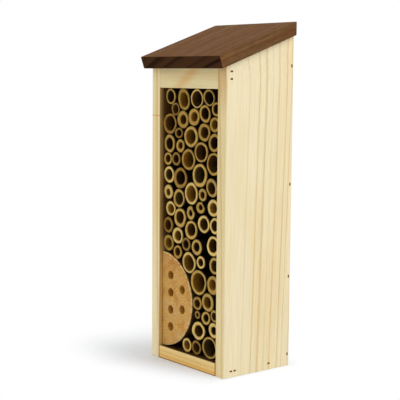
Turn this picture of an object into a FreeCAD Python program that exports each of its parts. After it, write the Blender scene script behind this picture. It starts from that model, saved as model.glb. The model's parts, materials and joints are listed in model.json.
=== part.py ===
import FreeCAD
import Part
import Sketcher
import itertools
import math
import os
from dataclasses import dataclass

# Bee house: a tall pine box with a single-pitch roof, packed with hollow canes and a drilled half log.
# Millimetres. +Z is up, the open front faces -Y, and the origin is the middle of the base.

SIZES = [
    ("house_width", 102.0),          # across both side panels
    ("house_depth", 75.0),           # front edge to rear edge of a side panel
    ("front_height", 262.0),         # base to roof at the front edge
    ("roof_pitch", 19.6),            # degrees, rising to the rear
    ("side_thickness", 11.0),
    ("floor_thickness", 11.0),
    ("lintel_thickness", 11.0),
    ("lintel_height", 19.0),         # on the front face
    ("back_thickness", 4.0),
    ("hanging_hole", 8.0),           # diameter
    ("hanging_hole_drop", 22.0),     # below the rear panel's top edge
    ("roof_thickness", 11.0),
    ("roof_front_overhang", 7.0),    # level, on the underside
    ("roof_side_overhang", 3.5),
    ("log_radius", 43.0),
    ("log_recess", 3.5),             # behind the front edges
    ("log_seat", 0.3),               # between the log and the floor
    ("log_hole", 8.0),               # drill diameter
    ("log_hole_depth", 52.0),
    ("near_column", 12.5),           # log's flat to the first column of holes
    ("near_pitch", 15.6),            # first column, hole to hole
    ("near_drop", 0.7),              # first column's middle, below the log's axis
    ("far_column", 29.0),            # log's flat to the second column
    ("far_pitch", 17.8),
    ("far_rise", 2.9),               # second column's middle, above the log's axis
    ("cane_recess", 4.0),            # cane ends behind the front edges
    ("cane_gap", 0.3),               # least gap around a cane
    ("cane_end_node", 4.0),          # node wall that closes a cane's rear end
    ("cane_inner_node", 2.5),        # node wall part way along a cane
    ("brad_width", 1.8),             # brads are cut from flat wire
    ("brad_thickness", 1.0),
    ("brad_length", 25.0),
    ("brad_sink", 0.5),              # head below the wood's surface
    ("brad_fit", 0.05),              # clearance all round a brad in its hole
    ("lintel_brad_drop", 4.5),       # first lintel brad below the front edge's top
    ("lintel_brad_gap", 6.2),        # first lintel brad to the second
    ("floor_brad_first", 8.0),       # behind the front edge
    ("floor_brad_second", 12.2),
    ("floor_brad_third", 51.0),
    ("back_brad_first", 10.5),       # above the base
    ("back_brad_second", 80.0),
    ("back_brad_third", 161.0),
    ("back_brad_drop", 26.0),        # last brad below the rear edge's top
    ("roof_brad_inset", 15.0),       # from the front and rear edges of the side panels
]

# Canes from the bottom up, one row each: place across from the cavity's middle, height above the floor,
# outer diameter, bore diameter, and the depth of a node wall inside the bore (0 where the bore is clear).
STOUT_CANES = [
    (-5.2, 6.6, 12.6, 8.1, 0),
    (7.9, 6.8, 13.0, 8.4, 0),
    (26.3, 10.3, 19.7, 15.5, 0),
    (11.0, 22.3, 17.0, 10.6, 0),
    (32.0, 26.7, 13.4, 6.9, 0),
    (9.3, 46.5, 12.5, 7.3, 0),
    (23.8, 49.3, 16.2, 9.7, 0),
    (11.1, 65.0, 21.5, 16.2, 0),
    (30.5, 65.6, 16.0, 8.8, 14),
    (-2.8, 80.6, 18.9, 14.0, 13),
    (32.5, 82.4, 14.5, 9.4, 0),
    (-31.8, 94.6, 14.5, 8.7, 0),
    (7.6, 95.4, 14.0, 8.0, 0),
    (30.0, 99.0, 17.5, 11.9, 0),
    (-18.7, 102.4, 14.8, 8.9, 15),
    (0.4, 109.6, 16.7, 11.0, 0),
    (-32.7, 110.6, 14.5, 9.0, 0),
    (16.9, 116.5, 15.5, 10.4, 0),
    (32.0, 116.5, 14.0, 9.0, 0),
    (-15.6, 118.7, 17.0, 10.8, 0),
    (-29.0, 125.6, 13.3, 8.4, 12),
    (30.4, 131.8, 15.0, 9.0, 12),
    (-16.8, 135.9, 16.0, 10.9, 0),
    (-32.4, 140.3, 13.0, 6.0, 10),
    (-0.6, 141.5, 18.7, 13.5, 16),
    (27.3, 148.4, 16.0, 10.2, 0),
    (-15.3, 153.7, 18.3, 11.9, 0),
    (-32.4, 155.6, 15.0, 9.7, 0),
    (11.3, 158.4, 20.4, 14.0, 0),
    (30.0, 168.8, 19.5, 14.7, 0),
    (-3.1, 170.6, 18.5, 13.4, 16),
    (12.3, 178.4, 18.0, 13.7, 0),
    (-31.5, 183.2, 15.8, 10.0, 0),
    (30.5, 186.8, 15.5, 10.0, 0),
    (-0.3, 190.3, 19.0, 12.8, 0),
    (16.8, 195.7, 15.8, 9.7, 0),
    (-30.7, 200.9, 18.3, 13.1, 0),
    (31.0, 202.0, 13.0, 7.8, 0),
    (-13.1, 204.1, 15.3, 8.0, 0),
    (3.1, 207.4, 15.0, 8.1, 9),
    (17.9, 211.5, 15.0, 10.0, 0),
    (-10.9, 222.4, 17.5, 11.5, 12),
    (7.1, 223.8, 16.5, 13.3, 0),
    (-29.3, 225.3, 14.0, 10.0, 0),
    (22.8, 225.6, 14.3, 11.0, 0),
]
# Thin canes fill the gaps between the stout ones, and are gathered by tier.
THIN_CANES = {
    "lower": [
        (21.3, 35.3, 11.6, 6.7, 0),
        (9.1, 36.2, 7.4, 3.6, 0),
        (32.5, 39.3, 10.5, 6.6, 0),
    ],
    "middle": [
        (13.2, 82.8, 11.4, 6.9, 0),
        (-18.7, 87.8, 12.2, 7.2, 0),
        (-7.1, 96.5, 12.2, 7.5, 0),
        (-1.0, 124.5, 11.8, 5.3, 0),
        (12.6, 130.3, 10.8, 5.0, 0),
        (15.7, 141.8, 11.3, 5.9, 0),
    ],
    "upper": [
        (-34.2, 169.6, 11.3, 6.9, 11),
        (-21.5, 170.3, 12.3, 7.3, 0),
        (-15.8, 182.7, 11.8, 5.9, 0),
        (-17.6, 193.4, 10.3, 6.3, 0),
        (-23.4, 214.3, 11.5, 7.8, 0),
        (32.3, 215.3, 12.0, 8.0, 0),
    ],
}
CANE_COLUMNS = ("across", "up", "outer", "bore", "node")
# A cane is a prism with enough sides to read as round.
CANE_SIDES = 18
# The cavity that the canes' places are given for. In a smaller one they start closer together.
CANE_PLACES_WIDTH = 80.0
CANE_PLACES_HEIGHT = 232.0
SETTLE_ROUNDS = 600
# Shares of the cane gap: a push below the first is rest, and a cane pressed by less than the second fits.
REST_SHARE = 0.02
PRESS_SHARE = 0.5
# Where the canes find no room, all are thinned by this share, and settle again.
THINNING = 0.02
# Corners that each board's profile is drawn with, before its dimensions bring it to size.
ROUGH_CORNERS = ((0, 0), (50, 0), (60, 30), (0, 20))

doc = FreeCAD.newDocument("bee_house")
sheet = doc.addObject("Spreadsheet::Sheet", "sizes")


def fill_sheet(sizes):
    """Write each number to its own row of the sheet, under its alias."""
    for row, (alias, value) in enumerate(sizes, 1):
        sheet.set(f"A{row}", alias)
        sheet.set(f"B{row}", str(value))
        sheet.setAlias(f"B{row}", alias)
    doc.recompute()


def size(alias):
    return float(sheet.get(alias))


def cane_sizes(cane, row):
    """A cane's sizes under its own name. A clear bore has no inner node."""
    columns = zip(CANE_COLUMNS, row)
    return [(f"{cane}_{column}", value) for column, value in columns if column != "node" or value]


cane_rows = {f"cane_{number:02d}": row for number, row in enumerate(STOUT_CANES, 1)}
for tier, rows in THIN_CANES.items():
    cane_rows.update({f"thin_cane_{tier}_{number}": row for number, row in enumerate(rows, 1)})
fill_sheet(SIZES + [pair for cane, row in cane_rows.items() for pair in cane_sizes(cane, row)])

SLOPE = "tan(sizes.roof_pitch * 1 deg)"
LEAN = "cos(sizes.roof_pitch * 1 deg)"
CAVITY_WIDTH = "(sizes.house_width - 2 * sizes.side_thickness)"
LEFT_WALL = f"-{CAVITY_WIDTH} / 2"
FRONT = "-sizes.house_depth / 2"
BACK_FACE = "(sizes.house_depth / 2 - sizes.back_thickness)"
INNER_DEPTH = "(sizes.house_depth - sizes.back_thickness)"
BACK_HEIGHT = f"(sizes.front_height + sizes.house_depth * {SLOPE})"


def place(item, across, along, up):
    """Bind an object's position to the sheet."""
    item.setExpression("Placement.Base.x", across)
    item.setExpression("Placement.Base.y", along)
    item.setExpression("Placement.Base.z", up)


def cut(name, base, tool):
    item = doc.addObject("Part::Cut", name)
    item.Base = base
    item.Tool = tool
    return item


def gather(name, members):
    item = doc.addObject("Part::Compound", name)
    item.Links = members
    return item


def new_sketch(body, role, name):
    """A sketch on one of the body's own origin planes."""
    sketch = body.newObject("Sketcher::SketchObject", name)
    origin_plane = next(item for item in body.Origin.OriginFeatures if item.Role == role)
    sketch.AttachmentSupport = [(origin_plane, "")]
    sketch.MapMode = "FlatFace"
    return sketch


def bind(sketch, name, expression, *constraint):
    """Add a dimension to a sketch and bind it to the sheet."""
    sketch.renameConstraint(sketch.addConstraint(Sketcher.Constraint(*constraint)), name)
    sketch.setExpression(f"Constraints.{name}", expression)


def board(name, base, top, front_rise, rear_rise, width):
    """A board sawn from a four-sided profile: base and top lengths, front and rear heights, and width."""
    body = doc.addObject("PartDesign::Body", name)
    sketch = new_sketch(body, "YZ_Plane", f"{name}_profile")
    corners = [FreeCAD.Vector(along, up, 0) for along, up in ROUGH_CORNERS]
    for edge in range(4):
        sketch.addGeometry(Part.LineSegment(corners[edge], corners[(edge + 1) % 4]))
    for edge in range(4):
        sketch.addConstraint(Sketcher.Constraint("Coincident", edge, 2, (edge + 1) % 4, 1))
    sketch.addConstraint(Sketcher.Constraint("Coincident", 0, 1, -1, 1))
    sketch.addConstraint(Sketcher.Constraint("Horizontal", 0))
    sketch.addConstraint(Sketcher.Constraint("Vertical", 3))
    bind(sketch, "base_length", base, "DistanceX", -1, 1, 1, 1, corners[1].x)
    bind(sketch, "top_length", top, "DistanceX", -1, 1, 2, 1, corners[2].x)
    bind(sketch, "rear_rise", rear_rise, "DistanceY", -1, 1, 2, 1, corners[2].y)
    bind(sketch, "front_rise", front_rise, "DistanceY", -1, 1, 3, 1, corners[3].y)
    pad = body.newObject("PartDesign::Pad", f"{name}_pad")
    pad.Profile = sketch
    pad.setExpression("Length", width)
    return body


def side_blank(name, left_face):
    """Side panel: full depth and height, with its top sawn to the roof's pitch."""
    body = board(name, "sizes.house_depth", "sizes.house_depth", "sizes.front_height", BACK_HEIGHT,
                 "sizes.side_thickness")
    place(body, left_face, FRONT, "0")
    return body


def floor_blank():
    """Floor: between the side panels, from the front to the rear panel."""
    body = board("floor_blank", INNER_DEPTH, INNER_DEPTH, "sizes.floor_thickness", "sizes.floor_thickness",
                 CAVITY_WIDTH)
    place(body, LEFT_WALL, FRONT, "0")
    return body


def lintel_blank():
    """Lintel: between the side panels, with its top bevelled to the roof's pitch."""
    body = board("lintel_blank", "sizes.lintel_thickness", "sizes.lintel_thickness", "sizes.lintel_height",
                 f"sizes.lintel_height + sizes.lintel_thickness * {SLOPE}", CAVITY_WIDTH)
    place(body, LEFT_WALL, FRONT, "sizes.front_height - sizes.lintel_height")
    return body


def back_blank():
    """Thin rear panel between the side panels, with a round hole to hang the house by."""
    body = board("back_blank", "sizes.back_thickness", "sizes.back_thickness",
                 f"{BACK_HEIGHT} - sizes.back_thickness * {SLOPE}", BACK_HEIGHT, CAVITY_WIDTH)
    place(body, LEFT_WALL, BACK_FACE, "0")
    sketch = new_sketch(body, "XZ_Plane", "hanging_hole_outline")
    middle = FreeCAD.Vector(size("house_width") / 2, size("front_height"), 0)
    sketch.addGeometry(Part.Circle(middle, FreeCAD.Vector(0, 0, 1), size("hanging_hole") / 2))
    bind(sketch, "middle", f"{CAVITY_WIDTH} / 2", "DistanceX", -1, 1, 0, 3, middle.x)
    bind(sketch, "height", f"{BACK_HEIGHT} - sizes.hanging_hole_drop", "DistanceY", -1, 1, 0, 3, middle.y)
    bind(sketch, "diameter", "sizes.hanging_hole", "Diameter", 0, size("hanging_hole"))
    pocket = body.newObject("PartDesign::Pocket", "hanging_hole_cut")
    pocket.Profile = sketch
    pocket.Type = "ThroughAll"
    return body


def roof_blank():
    """Roof board: drawn level, then tilted to the pitch. Its front end is square and its rear end plumb."""
    underside = f"(sizes.house_depth + sizes.roof_front_overhang) / {LEAN}"
    body = board("roof_blank", underside, f"{underside} + sizes.roof_thickness * {SLOPE}",
                 "sizes.roof_thickness", "sizes.roof_thickness",
                 "sizes.house_width + 2 * sizes.roof_side_overhang")
    tilt = FreeCAD.Rotation(FreeCAD.Vector(1, 0, 0), size("roof_pitch"))
    body.Placement = FreeCAD.Placement(FreeCAD.Vector(), tilt)
    body.setExpression("Placement.Rotation.Angle", "sizes.roof_pitch")
    place(body, "-sizes.house_width / 2 - sizes.roof_side_overhang", f"{FRONT} - sizes.roof_front_overhang",
          f"sizes.front_height - sizes.roof_front_overhang * {SLOPE}")
    return body


def drilled_half_log():
    """Half-round log, flat side to the left wall and rear end on the rear panel, drilled from the front."""
    body = doc.addObject("PartDesign::Body", "drilled_half_log")
    length = f"{INNER_DEPTH} - sizes.log_recess"
    radius = size("log_radius")
    centre = FreeCAD.Vector()
    axis = FreeCAD.Vector(0, 0, 1)
    half_round = new_sketch(body, "XZ_Plane", "log_half_round")
    half_round.addGeometry(Part.ArcOfCircle(Part.Circle(centre, axis, radius), -math.pi / 2, math.pi / 2))
    half_round.addGeometry(Part.LineSegment(FreeCAD.Vector(0, radius, 0), FreeCAD.Vector(0, -radius, 0)))
    half_round.addConstraint(Sketcher.Constraint("Coincident", 0, 3, -1, 1))
    half_round.addConstraint(Sketcher.Constraint("Coincident", 0, 2, 1, 1))
    half_round.addConstraint(Sketcher.Constraint("Coincident", 0, 1, 1, 2))
    half_round.addConstraint(Sketcher.Constraint("PointOnObject", 1, 1, -2))
    half_round.addConstraint(Sketcher.Constraint("PointOnObject", 1, 2, -2))
    bind(half_round, "radius", "sizes.log_radius", "Radius", 0, radius)
    pad = body.newObject("PartDesign::Pad", "log_length")
    pad.Profile = half_round
    pad.setExpression("Length", length)

    holes = new_sketch(body, "XZ_Plane", "log_hole_outlines")
    holes.setExpression("AttachmentOffset.Base.z", length)
    near_steps = (-1.5, -0.5, 0.5, 1.5)
    far_steps = (-0.5, 0.5)
    near = [("near_column", f"{step} * sizes.near_pitch - sizes.near_drop") for step in near_steps]
    far = [("far_column", f"{step} * sizes.far_pitch + sizes.far_rise") for step in far_steps]
    drill = size("log_hole")
    for number, (column, up) in enumerate(near + far):
        start = FreeCAD.Vector(size(column), size(column), 0)
        holes.addGeometry(Part.Circle(start, axis, drill / 2))
        bind(holes, f"out_{number}", f"sizes.{column}", "DistanceX", -1, 1, number, 3, start.x)
        bind(holes, f"up_{number}", up, "DistanceY", -1, 1, number, 3, start.y)
        bind(holes, f"drill_{number}", "sizes.log_hole", "Diameter", number, drill)
    pocket = body.newObject("PartDesign::Pocket", "log_holes")
    pocket.Profile = holes
    pocket.setExpression("Length", "sizes.log_hole_depth")
    place(body, LEFT_WALL, BACK_FACE, "sizes.floor_thickness + sizes.log_radius + sizes.log_seat")
    return body


def brad_places():
    """Each brad's wire, its place, and the turn that points it into the wood.

    Through each side panel go two brads to the lintel, three to the floor and four to the rear panel,
    and two go from the roof into the panel's top. The wire's wide side lies along the joint.
    """
    about_x = FreeCAD.Vector(1, 0, 0)
    about_y = FreeCAD.Vector(0, 1, 0)
    orders = ("first", "second", "third")
    lintel_line = f"{FRONT} + sizes.lintel_thickness / 2"
    lintel_up = "sizes.front_height - sizes.lintel_brad_drop"
    back_line = f"{BACK_FACE} + sizes.back_thickness / 2"
    level = [(lintel_line, lintel_up), (lintel_line, f"{lintel_up} - sizes.lintel_brad_gap")]
    level += [(f"{FRONT} + sizes.floor_brad_{order}", "sizes.floor_thickness / 2") for order in orders]
    upright = [(back_line, f"sizes.back_brad_{order}") for order in orders]
    upright += [(back_line, f"{BACK_HEIGHT} - sizes.back_brad_drop")]
    cover = "(sizes.roof_thickness - sizes.brad_sink)"
    places = []
    for side, turn in (("", "-90"), ("-", "90")):
        head = f"{side}(sizes.house_width / 2 - sizes.brad_sink)"
        places += [("level", head, along, up, about_y, turn) for along, up in level]
        places += [("upright", head, along, up, about_y, turn) for along, up in upright]
        panel_middle = f"{side}(sizes.house_width / 2 - sizes.side_thickness / 2)"
        for run in ("sizes.roof_brad_inset", "(sizes.house_depth - sizes.roof_brad_inset)"):
            along = f"{FRONT} + {run} - {cover} * sin(sizes.roof_pitch * 1 deg)"
            up = f"sizes.front_height + {run} * {SLOPE} + {cover} * {LEAN}"
            places.append(("level", panel_middle, along, up, about_x, "180 + sizes.roof_pitch"))
    return places


def pins(name, clearance, height, start):
    """A group of flat pins, one at each brad's place, with this clearance all round the brad's wire.

    Each pin starts this far along from the brad's head.
    """
    wide = f"(sizes.brad_width + 2 * {clearance})"
    narrow = f"(sizes.brad_thickness + 2 * {clearance})"
    wires = {}
    for lie, length, breadth in (("upright", wide, narrow), ("level", narrow, wide)):
        wires[lie] = doc.addObject("Part::Box", f"{name}_{lie}_wire")
        wires[lie].setExpression("Length", length)
        wires[lie].setExpression("Width", breadth)
        wires[lie].setExpression("Height", height)
        place(wires[lie], f"-{length} / 2", f"-{breadth} / 2", start)
    copies = []
    for number, (lie, across, along, up, axis, turn) in enumerate(brad_places(), 1):
        copy = doc.addObject("App::Link", f"{name}_{number:02d}")
        copy.LinkedObject = wires[lie]
        copy.LinkTransform = True
        copy.Placement = FreeCAD.Placement(FreeCAD.Vector(), FreeCAD.Rotation(axis, 1))
        copy.setExpression("Placement.Rotation.Angle", turn)
        place(copy, across, along, up)
        copies.append(copy)
    return gather(name, copies)


def brad_nails():
    return pins("brad_nails", "0", "sizes.brad_length", "0")


def brad_holes():
    """What the brads leave in the wood: each hole runs from outside the surface to past the brad's point."""
    return pins("brad_holes", "sizes.brad_fit", "sizes.brad_length + 2 * sizes.brad_sink + sizes.brad_fit",
                "-2 * sizes.brad_sink")


@dataclass
class Cane:
    name: str
    across: float
    up: float
    radius: float


def settle(canes):
    """Let the canes push each other apart until they fit the cavity, the log and each other."""
    gap = size("cane_gap")
    half_width = size("house_width") / 2 - size("side_thickness")
    ceiling = size("front_height") - size("lintel_height") - size("floor_thickness")
    log_radius = size("log_radius")
    log_up = log_radius + size("log_seat")
    log = Cane("log", -half_width, log_up, log_radius)
    settled_push = gap * REST_SHARE

    def push_apart(first, second):
        """Move two canes half their overlap each, and return the overlap."""
        across = second.across - first.across or settled_push
        up = second.up - first.up
        apart = math.hypot(across, up)
        push = first.radius + second.radius + gap - apart
        if push > 0:
            first.across -= across / apart * push / 2
            first.up -= up / apart * push / 2
            second.across += across / apart * push / 2
            second.up += up / apart * push / 2
        return push

    def keep_inside(cane):
        """Move a cane clear of the log, then inside the walls, the floor and the lintel's underside."""
        reach = cane.radius + gap
        out = cane.across - log.across or settled_push
        above = cane.up - log.up
        apart = math.hypot(out, above)
        push = log.radius + reach - apart
        if push > 0:
            cane.across += out / apart * push
            cane.up += above / apart * push
        cane.across = min(max(cane.across, reach - half_width), half_width - reach)
        cane.up = min(max(cane.up, reach), ceiling - reach)

    def crowding(cane):
        """How far a cane still presses on its neighbours."""
        presses = []
        for other in canes + [log]:
            if other is not cane:
                apart = math.hypot(other.across - cane.across, other.up - cane.up)
                presses.append(cane.radius + other.radius + gap - apart)
        return sum(press for press in presses if press > 0)

    def all_fit():
        for _ in range(SETTLE_ROUNDS):
            worst = max(push_apart(*pair) for pair in itertools.combinations(canes, 2))
            for cane in canes:
                keep_inside(cane)
            if worst < settled_push:
                break
        return max(crowding(cane) for cane in canes) < gap * PRESS_SHARE

    for cane in canes:
        cane.across *= min(1, 2 * half_width / CANE_PLACES_WIDTH)
        cane.up *= min(1, ceiling / CANE_PLACES_HEIGHT)
    while not all_fit():
        for cane in canes:
            cane.radius *= 1 - THINNING


def cane_solid(cane):
    """A cane: bored from the front, closed by the node at its rear end, and some by a node part way along."""
    length = f"({INNER_DEPTH} - sizes.cane_recess)"
    mouth = f"{FRONT} + sizes.cane_recess"
    clear_length = f"({length} - sizes.cane_end_node)"
    along_y = FreeCAD.Rotation(FreeCAD.Vector(1, 0, 0), -90)
    middle = FreeCAD.Vector(cane.across, 0, cane.up + size("floor_thickness"))
    share_left = cane.radius / (size(f"{cane.name}_outer") / 2)

    def prism(name, diameter, start, height):
        item = doc.addObject("Part::Prism", f"{cane.name}_{name}")
        item.Polygon = CANE_SIDES
        item.Placement = FreeCAD.Placement(middle, along_y)
        item.setExpression("Circumradius", f"sizes.{cane.name}_{diameter} / 2 * {share_left}")
        item.setExpression("Height", height)
        item.setExpression("Placement.Base.y", start)
        return item

    stock = prism("stock", "outer", mouth, length)
    has_inner_node = bool(cane_rows[cane.name][CANE_COLUMNS.index("node")])
    if not has_inner_node:
        return cut(cane.name, stock, prism("hollow", "bore", mouth, clear_length))
    node = f"sizes.{cane.name}_node"
    behind = f"({node} + sizes.cane_inner_node)"
    nest = prism("front_hollow", "bore", mouth, node)
    sealed = prism("rear_hollow", "bore", f"{mouth} + {behind}", f"{clear_length} - {behind}")
    return cut(cane.name, cut(f"{cane.name}_mouth", stock, nest), sealed)


def packed_canes():
    """Stout canes are each a piece of their own, and the thin ones of a tier are one group."""
    canes = []
    for cane in cane_rows:
        canes.append(Cane(cane, size(f"{cane}_across"), size(f"{cane}_up"), size(f"{cane}_outer") / 2))
    settle(canes)
    solids = {cane.name: cane_solid(cane) for cane in canes}
    pieces = [solid for cane, solid in solids.items() if cane.startswith("cane_")]
    for tier in THIN_CANES:
        members = [solid for cane, solid in solids.items() if cane.startswith(f"thin_cane_{tier}_")]
        pieces.append(gather(f"thin_canes_{tier}", members))
    return pieces


holes = brad_holes()
right_face = "sizes.house_width / 2 - sizes.side_thickness"
nodes = [
    cut("left_side_panel", side_blank("left_side_blank", "-sizes.house_width / 2"), holes),
    cut("right_side_panel", side_blank("right_side_blank", right_face), holes),
    cut("back_panel", back_blank(), holes),
    cut("floor_board", floor_blank(), holes),
    cut("front_lintel", lintel_blank(), holes),
    cut("roof_board", roof_blank(), holes),
    drilled_half_log(),
    brad_nails(),
] + packed_canes()
doc.recompute()

for item in doc.Objects:
    if "Invalid" in item.State or "Error" in item.State:
        raise RuntimeError(f"{item.Label} did not build")
for node in nodes:
    if node.Shape.isNull() or not node.Shape.isValid() or not node.Shape.Solids:
        raise RuntimeError(f"{node.Label} has no sound solid")

os.makedirs("parts", exist_ok=True)
for node in nodes:
    node.Shape.exportStep(f"parts/{node.Label}.step")
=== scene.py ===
import json
import math

import bmesh
import bpy
from mathutils import Color, Matrix, Vector


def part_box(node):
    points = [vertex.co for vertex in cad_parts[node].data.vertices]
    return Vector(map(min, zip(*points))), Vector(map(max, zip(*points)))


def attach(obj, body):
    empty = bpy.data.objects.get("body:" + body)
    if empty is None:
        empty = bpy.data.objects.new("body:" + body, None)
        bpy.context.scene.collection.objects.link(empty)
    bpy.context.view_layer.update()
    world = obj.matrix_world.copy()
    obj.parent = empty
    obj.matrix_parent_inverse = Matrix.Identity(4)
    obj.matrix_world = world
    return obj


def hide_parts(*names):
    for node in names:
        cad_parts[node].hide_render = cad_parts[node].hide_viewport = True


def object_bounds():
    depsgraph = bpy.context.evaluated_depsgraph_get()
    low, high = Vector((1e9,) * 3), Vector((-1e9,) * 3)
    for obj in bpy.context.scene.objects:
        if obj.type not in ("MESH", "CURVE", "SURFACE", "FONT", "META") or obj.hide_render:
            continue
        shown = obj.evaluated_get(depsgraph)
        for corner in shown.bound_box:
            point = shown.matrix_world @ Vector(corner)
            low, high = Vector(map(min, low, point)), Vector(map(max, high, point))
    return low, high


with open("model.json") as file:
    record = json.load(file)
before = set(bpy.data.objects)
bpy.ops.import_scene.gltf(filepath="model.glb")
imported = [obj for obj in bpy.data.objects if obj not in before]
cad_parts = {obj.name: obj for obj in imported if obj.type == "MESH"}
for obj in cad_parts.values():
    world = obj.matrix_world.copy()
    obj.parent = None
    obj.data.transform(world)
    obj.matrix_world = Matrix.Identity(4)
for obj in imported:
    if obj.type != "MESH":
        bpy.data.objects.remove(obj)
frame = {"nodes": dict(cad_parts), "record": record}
cad_low, cad_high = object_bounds()


# Side panels: two planed pine boards stood on end, grain upright, with their tops sawn to the roof's pitch.
# The floor, lintel, rear panel and roof are nailed to them with brads, which leave small slots in the wood.
EASED_EDGE = 0.0005              # metres taken off a sawn edge
EASED_STEPS = 2
EASED_ROUND = 0.5                # profile of a quarter circle
SAME_PLACE = 0.000001            # points closer than this are one
WIRE_CORNERS = 4                 # at each end of a brad
SLOT_MARGIN = 0.0005             # crushed wood round a brad
SLOT_RUN_OUT = 0.001             # a slot or hole is cut from this far outside
PINE_EARLY = (238, 223, 184)     # colours are screen values, 0 to 255
PINE_LATE = (222, 194, 143)
PINE_FLUSH = (253, 247, 238)     # tints, which a colour is multiplied by
PINE_EDGE = (255, 248, 226)
# painted shade on the side panels' inner faces
PINE_INSIDE_SHADE = (238, 216, 165)
PINE_DEEP_SHADE = (110, 84, 62)        # painted shade inside, above the log
FRONT_SHARE = 0.33               # of that tint at the front edge
INSIDE_FADE = 0.0055             # depth at which it is full
BESIDE_LOG_SHARE = 0.24
DEEP_SHADE_RISE = 0.025                 # height below and above the log's top over which that painted shade sets in
LOG_SHADOW_LINE = 0.0008                # width of the painted shadow line where the log's end meets the wall
LOG_SHADOW_LINE_SHARE = 0.55
EDGE_FADE = (0.085, 0.130)       # heights between which the front edges' tint sets in
LEFT_LOW_EDGE = 0.35             # share of it below them
RIGHT_LOW_EDGE = 0.85
LOW_GLOW = 0.09                  # light that the ground throws up on the front edges, below those heights
HIGH_GLOW = 0.04                 # and above them
# The trunk that a board was sawn from: where its pith stood, how its grain turns, and how far aside the
# grain bows between two heights. Its rings: their width, the radius of one ring's edge, how far they
# wander, and the share of a ring that is early wood.
RIGHT_TRUNK = {
    "pith": (0.034, -0.0325, 0.0),
    "grain": (-0.036, 0.0, 0.0),
    "bow": ((0.0035, 0.0, 0.0), 0.245, 0.285),
}
RIGHT_RINGS = {"width": 0.0068, "first": 0.00945, "sway": 0.004, "late_from": 0.66}
RIGHT_TOP = (0.215, 0.250)       # heights between which the right panel's front edge turns warmer
RIGHT_TOP_TINT = (243, 228, 212)
LEFT_EARLY = (247, 233, 196)
LEFT_LATE = (227, 197, 141)
LEFT_TRUNK = {"pith": (-0.062, 0.005, 0.0), "grain": (-0.006, -0.006, 0.0)}
LEFT_RINGS = {"width": 0.0054, "first": 0.0433, "sway": 0.003}
KNOT_AT = (-0.0455, -0.0375, 0.2185)
KNOT_RADIUS = 0.0013
KNOT_TINT = (243, 220, 192)
IRON_STAIN = (146, 78, 18)
IRON_FLECKS = 2500.0             # to the metre
IRON_SHADES = (0.6, 1.3)         # of the darkest and the lightest fleck
IRON_ROUGH = (0.72, 0.9)
# Uneven patterns in wood: how many to the metre across the grain, and the share of that along it.
FIBRES = (1500.0, 0.02)
FLUSHES = (24.0, 0.25)
RING_WAVES = (14.0, 0.2)
SMOOTH, SOFT, FINE = 1.0, 2.0, 3.0  # detail in a pattern
MIDDLE_TONE = 0.5                # of a pattern
MOST_TONES = (0.3, 0.7)          # nearly all of it lies between these
FLUSH_TONES = (0.45, 0.7)
FIBRE_SHADES = (0.93, 1.045)
YEAR_PACE = 0.8                  # how fast good and bad years take turns
YEAR_SWING = 0.6                 # how far they move a ring's edge, in rings
LATE_FULL = 0.93                 # share of a ring at which the late wood is darkest
LATE_END = (0.95, 1.0)           # and over which the next ring's early wood takes over
FAINT_YEAR = 0.4                 # share of the late colour in the faintest year
RING_RELIEF = 0.6                # how far the late wood stands out, against the fibres
TURNED = (0.6, 0.9)              # cosines between which a face comes to count as turned to a way
PINE_ROUGH = (0.52, 0.7)
WOOD_BUMP = (0.3, 0.0002)        # strength and depth
WOOD_SHINE = 0.12
LEFT = (-1.0, 0.0, 0.0)
RIGHT = (1.0, 0.0, 0.0)
FRONT = (0.0, -1.0, 0.0)
REAR = (0.0, 1.0, 0.0)

panel_low, panel_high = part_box("right_side_panel")
lintel_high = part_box("front_lintel")[1]
log_low, log_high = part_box("drilled_half_log")
roof_slope = (panel_high.z - lintel_high.z) / (panel_high.y - lintel_high.y)
house_middle = (cad_low + cad_high) / 2


def roof_line(depth):
    """Height of the roof's underside at a depth."""
    return panel_high.z - (panel_high.y - depth) * roof_slope


def link_piece(name, mesh):
    """Put a mesh in the scene as a piece."""
    piece = bpy.data.objects.new(name, mesh)
    bpy.context.scene.collection.objects.link(piece)
    return piece


def place_mesh(name, shape):
    """Turn a worked shape into a piece of the scene."""
    mesh = bpy.data.meshes.new(name)
    shape.to_mesh(mesh)
    shape.free()
    return link_piece(name, mesh)


def join_loops(shape, first, second):
    """Close the gap between two loops of points with faces."""
    for index in range(len(first)):
        shape.faces.new((first[index - 1], first[index], second[index], second[index - 1]))


def add_prism(shape, corners, push):
    """Add a solid to a shape, from the corners of one end and the push that carries them to the other."""
    near = [shape.verts.new(corner) for corner in corners]
    far = [shape.verts.new(Vector(corner) + push) for corner in corners]
    shape.faces.new(near)
    shape.faces.new(far)
    join_loops(shape, near, far)
    bmesh.ops.recalc_face_normals(shape, faces=shape.faces)


def ease(shape, edges, width):
    """Round over the edges of a shape."""
    bmesh.ops.bevel(
        shape, geom=edges, offset=width, segments=EASED_STEPS, profile=EASED_ROUND, affect="EDGES")


def sawn_board(name, finish, outline, left, right, eased=EASED_EDGE):
    """A board from its side outline, as depths and heights, sawn to a width and with its edges eased."""
    shape = bmesh.new()
    add_prism(shape, [(left, depth, height) for depth, height in outline], Vector((right - left, 0, 0)))
    ease(shape, shape.edges[:], eased)
    board = place_mesh(name, shape)
    board.data.materials.append(finish)
    return board


def separate_solids(node):
    """The corners of each solid in a node."""
    shape = bmesh.new()
    shape.from_mesh(frame["nodes"][node].data)
    bmesh.ops.remove_doubles(shape, verts=shape.verts, dist=SAME_PLACE)
    waiting = dict.fromkeys(shape.verts)
    solids = []
    while waiting:
        reached = [waiting.popitem()[0]]
        for vert in reached:
            for edge in vert.link_edges:
                other = edge.other_vert(vert)
                if other in waiting:
                    del waiting[other]
                    reached.append(other)
        solids.append([vert.co.copy() for vert in reached])
    shape.free()
    return solids


def middle_of(corners):
    """The mean of some corners."""
    return sum(corners, Vector()) / len(corners)


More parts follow.
